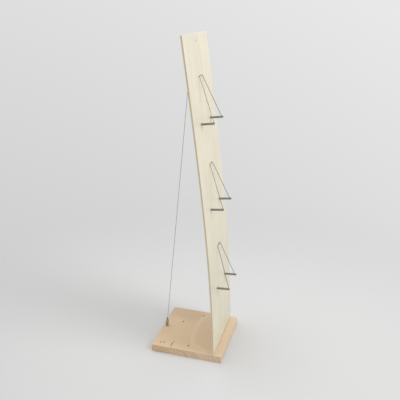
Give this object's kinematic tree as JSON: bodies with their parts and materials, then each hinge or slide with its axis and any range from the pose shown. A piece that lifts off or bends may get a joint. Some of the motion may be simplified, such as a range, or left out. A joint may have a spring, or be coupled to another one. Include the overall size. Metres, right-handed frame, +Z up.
{
  "type": "floor display stand",
  "caption": "Slim floor display stand: a bent plywood panel in a wooden base, held back by a steel cable, with rod and wire holders for booklets.",
  "frame": {"origin": "centre of the base's underside, on the floor", "axes": "+Z up, -Y towards the front where the holders are, +X to the right seen from the front"},
  "size_m": [0.286, 0.2888, 1.1989],
  "materials": {
    "beech": "oiled beech, fine short grain flecks",
    "ply": "clear-lacquered birch plywood",
    "rod_steel": "satin stainless",
    "wire_steel": "bright drawn wire",
    "cable_steel": "stranded stainless cable",
    "turned_steel": "turned and polished stainless",
    "dark_steel": "dark swaged steel",
    "zinc": "zinc-plated fasteners",
    "brass": "turned brass"
  },
  "bodies": {
    "stand": {"base_plate": "beech", "back_panel": "ply", "bottom_left_rod": "rod_steel", "bottom_right_rod": "rod_steel", "middle_left_rod": "rod_steel", "middle_right_rod": "rod_steel", "top_left_rod": "rod_steel", "top_right_rod": "rod_steel", "rod_screws": "zinc", "rod_washers": "zinc", "anchor_post": "turned_steel", "anchor_screw": "zinc", "cable_ferrule": "dark_steel", "stay_cable": "cable_steel", "cable_terminal": "dark_steel", "anchor_stud": "zinc", "anchor_insert": "brass"},
    "bottom_retainer": {"bottom_retainer": "wire_steel"},
    "middle_retainer": {"middle_retainer": "wire_steel"},
    "top_retainer": {"top_retainer": "wire_steel"},
    "tensioner": {"tensioner_barrel": "turned_steel"}
  },
  "joints": [
    {"name": "bottom_retainer_hinge", "type": "hinge", "parent": "stand", "child": "bottom_retainer", "pos_m": [0, -0.14357, 0.27881], "axis": [1, 0, 0], "range_deg": [0, 207]},
    {"name": "middle_retainer_hinge", "type": "hinge", "parent": "stand", "child": "middle_retainer", "pos_m": [0, -0.11395, 0.59825], "axis": [1, 0, 0], "range_deg": [0, 207]},
    {"name": "top_retainer_hinge", "type": "hinge", "parent": "stand", "child": "top_retainer", "pos_m": [0, -0.07501, 0.90884], "axis": [1, 0, 0], "range_deg": [0, 207]},
    {"name": "tensioner_turn", "type": "hinge", "parent": "stand", "child": "tensioner", "pos_m": [0, 0.1272, 0.029], "axis": [0, -0.0925, 0.9957], "range_deg": [-360, 360]}
  ]
}
